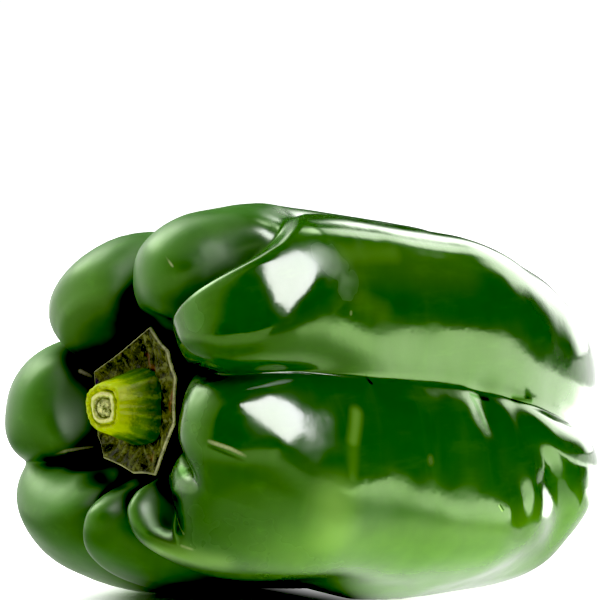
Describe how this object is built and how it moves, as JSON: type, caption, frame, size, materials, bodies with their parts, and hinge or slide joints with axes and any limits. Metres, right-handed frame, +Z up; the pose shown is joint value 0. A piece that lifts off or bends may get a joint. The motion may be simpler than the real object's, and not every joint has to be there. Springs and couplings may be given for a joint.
{
  "type": "bell pepper",
  "caption": "Green bell pepper lying on its side: a glossy, deeply lobed fruit with a cornered, wilted calyx and a short cut stem set in the hollow of its shoulder.",
  "frame": {"origin": "under the middle of the whole pepper, on the surface it lies on", "axes": "+X from the stem end to the blossom end, +Y away from the side that shows in the picture, +Z up"},
  "size_m": [0.1204, 0.0846, 0.0793],
  "materials": {
    "skin": "waxy, glossy green skin, lighter green on the side turned to the light",
    "calyx": "wilted, mottled olive brown leaf with a pale rim",
    "stem": "satin yellow-green stalk, darker at its foot, with a pale fibrous cut face"
  },
  "bodies": {
    "root": {"fruit": "skin", "calyx": "calyx", "stem": "stem"}
  },
  "joints": []
}
